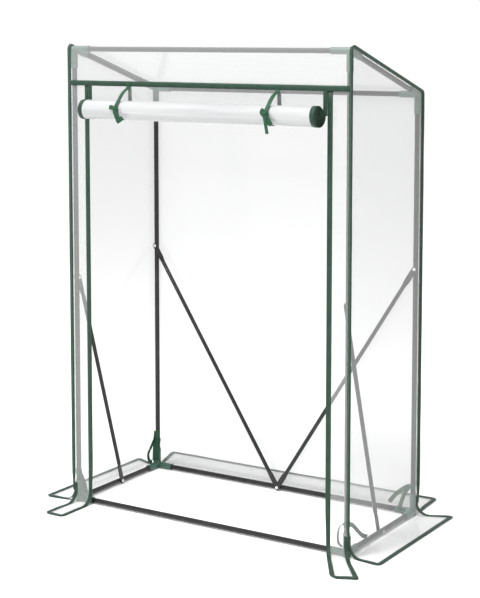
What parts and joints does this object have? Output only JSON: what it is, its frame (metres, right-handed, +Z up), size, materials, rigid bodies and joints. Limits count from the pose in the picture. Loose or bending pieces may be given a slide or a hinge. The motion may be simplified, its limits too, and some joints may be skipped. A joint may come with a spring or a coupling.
{
  "type": "lean-to mini greenhouse",
  "caption": "Lean-to growing house: push-fit tube frame with diagonal braces under a clear film cover, with a roll-up front door, ribbon ties and ground skirts.",
  "frame": {"origin": "on the ground, in the middle of the footprint with the skirts laid out", "axes": "+X from the left to the right side panel, +Y from the open front to the back, +Z up"},
  "size_m": [1.244, 0.83, 1.5],
  "materials": {
    "tube_steel": "satin powder coat",
    "fitting_plastic": "moulded, slightly glossy",
    "bolt_steel": "zinc plated",
    "cover_film": "clear, slightly milky film",
    "binding_tape": "woven binding, sewn",
    "rolled_film": "many turns of glossy film",
    "tie_ribbon": "woven ribbon"
  },
  "bodies": {
    "root": {"post_front_left": "tube_steel", "post_back_left": "tube_steel", "post_front_right": "tube_steel", "post_back_right": "tube_steel", "base_bar_left": "tube_steel", "base_bar_right": "tube_steel", "roof_bar_left": "tube_steel", "roof_bar_right": "tube_steel", "base_bar_front": "tube_steel", "base_bar_back": "tube_steel", "top_bar_front": "tube_steel", "top_bar_back": "tube_steel", "brace_back_left": "tube_steel", "brace_back_right": "tube_steel", "brace_side_left": "tube_steel", "brace_side_right": "tube_steel", "corner_base_front_left": "fitting_plastic", "corner_base_front_right": "fitting_plastic", "corner_base_back_left": "fitting_plastic", "corner_base_back_right": "fitting_plastic", "corner_top_front_left": "fitting_plastic", "corner_top_front_right": "fitting_plastic", "corner_top_back_left": "fitting_plastic", "corner_top_back_right": "fitting_plastic", "brace_bolts": "bolt_steel", "brace_nuts": "bolt_steel", "film_roof": "cover_film", "film_header": "cover_film", "film_back": "cover_film", "film_strip_left": "cover_film", "film_strip_right": "cover_film", "film_side_left": "cover_film", "film_side_right": "cover_film", "binding_side_left": "binding_tape", "binding_side_right": "binding_tape", "binding_header": "binding_tape", "binding_strip_left": "binding_tape", "binding_strip_right": "binding_tape", "door_tie_left": "tie_ribbon", "door_tie_right": "tie_ribbon", "corner_tie_front_left": "tie_ribbon", "corner_tie_front_right": "tie_ribbon", "corner_tie_back_left": "tie_ribbon", "corner_tie_back_right": "tie_ribbon"},
    "door_sheet": {"door_sheet": "cover_film", "door_sheet_bindings": "binding_tape"},
    "door_roll": {"door_roll": "rolled_film", "door_roll_bindings": "binding_tape"},
    "skirt_left": {"skirt_left": "cover_film", "skirt_left_binding": "binding_tape"},
    "skirt_right": {"skirt_right": "cover_film", "skirt_right_binding": "binding_tape"},
    "skirt_back": {"skirt_back": "cover_film", "skirt_back_binding": "binding_tape"},
    "skirt_front_left": {"skirt_front_left": "cover_film", "skirt_front_left_binding": "binding_tape"},
    "skirt_front_right": {"skirt_front_right": "cover_film", "skirt_front_right_binding": "binding_tape"}
  },
  "joints": [
    {"name": "door_unroll", "type": "slide", "parent": "root", "child": "door_sheet", "axis": [0, 0, -1], "range_m": [0, 1.26], "deforming": ["door_sheet", "door_sheet_bindings", "door_tie_left", "door_tie_right"]},
    {"name": "door_roll_spin", "type": "hinge", "parent": "door_sheet", "child": "door_roll", "pos_m": [0, -0.2734, 1.3], "axis": [1, 0, 0], "range_deg": [0, 2160]},
    {"name": "skirt_left_fold", "type": "hinge", "parent": "root", "child": "skirt_left", "pos_m": [-0.512, 0, 0.038], "axis": [0, 1, 0], "range_deg": [0, 75]},
    {"name": "skirt_right_fold", "type": "hinge", "parent": "root", "child": "skirt_right", "pos_m": [0.512, 0, 0.038], "axis": [0, -1, 0], "range_deg": [0, 75]},
    {"name": "skirt_back_fold", "type": "hinge", "parent": "root", "child": "skirt_back", "pos_m": [0, 0.237, 0.038], "axis": [1, 0, 0], "range_deg": [0, 75]},
    {"name": "skirt_front_left_fold", "type": "hinge", "parent": "root", "child": "skirt_front_left", "pos_m": [-0.4745, -0.237, 0.038], "axis": [-1, 0, 0], "range_deg": [0, 75]},
    {"name": "skirt_front_right_fold", "type": "hinge", "parent": "root", "child": "skirt_front_right", "pos_m": [0.4745, -0.237, 0.038], "axis": [-1, 0, 0], "range_deg": [0, 75]}
  ],
  "couplings": [
    {"joint": "door_roll_spin", "follows": "door_unroll", "rad_per_m": 29.9}
  ]
}
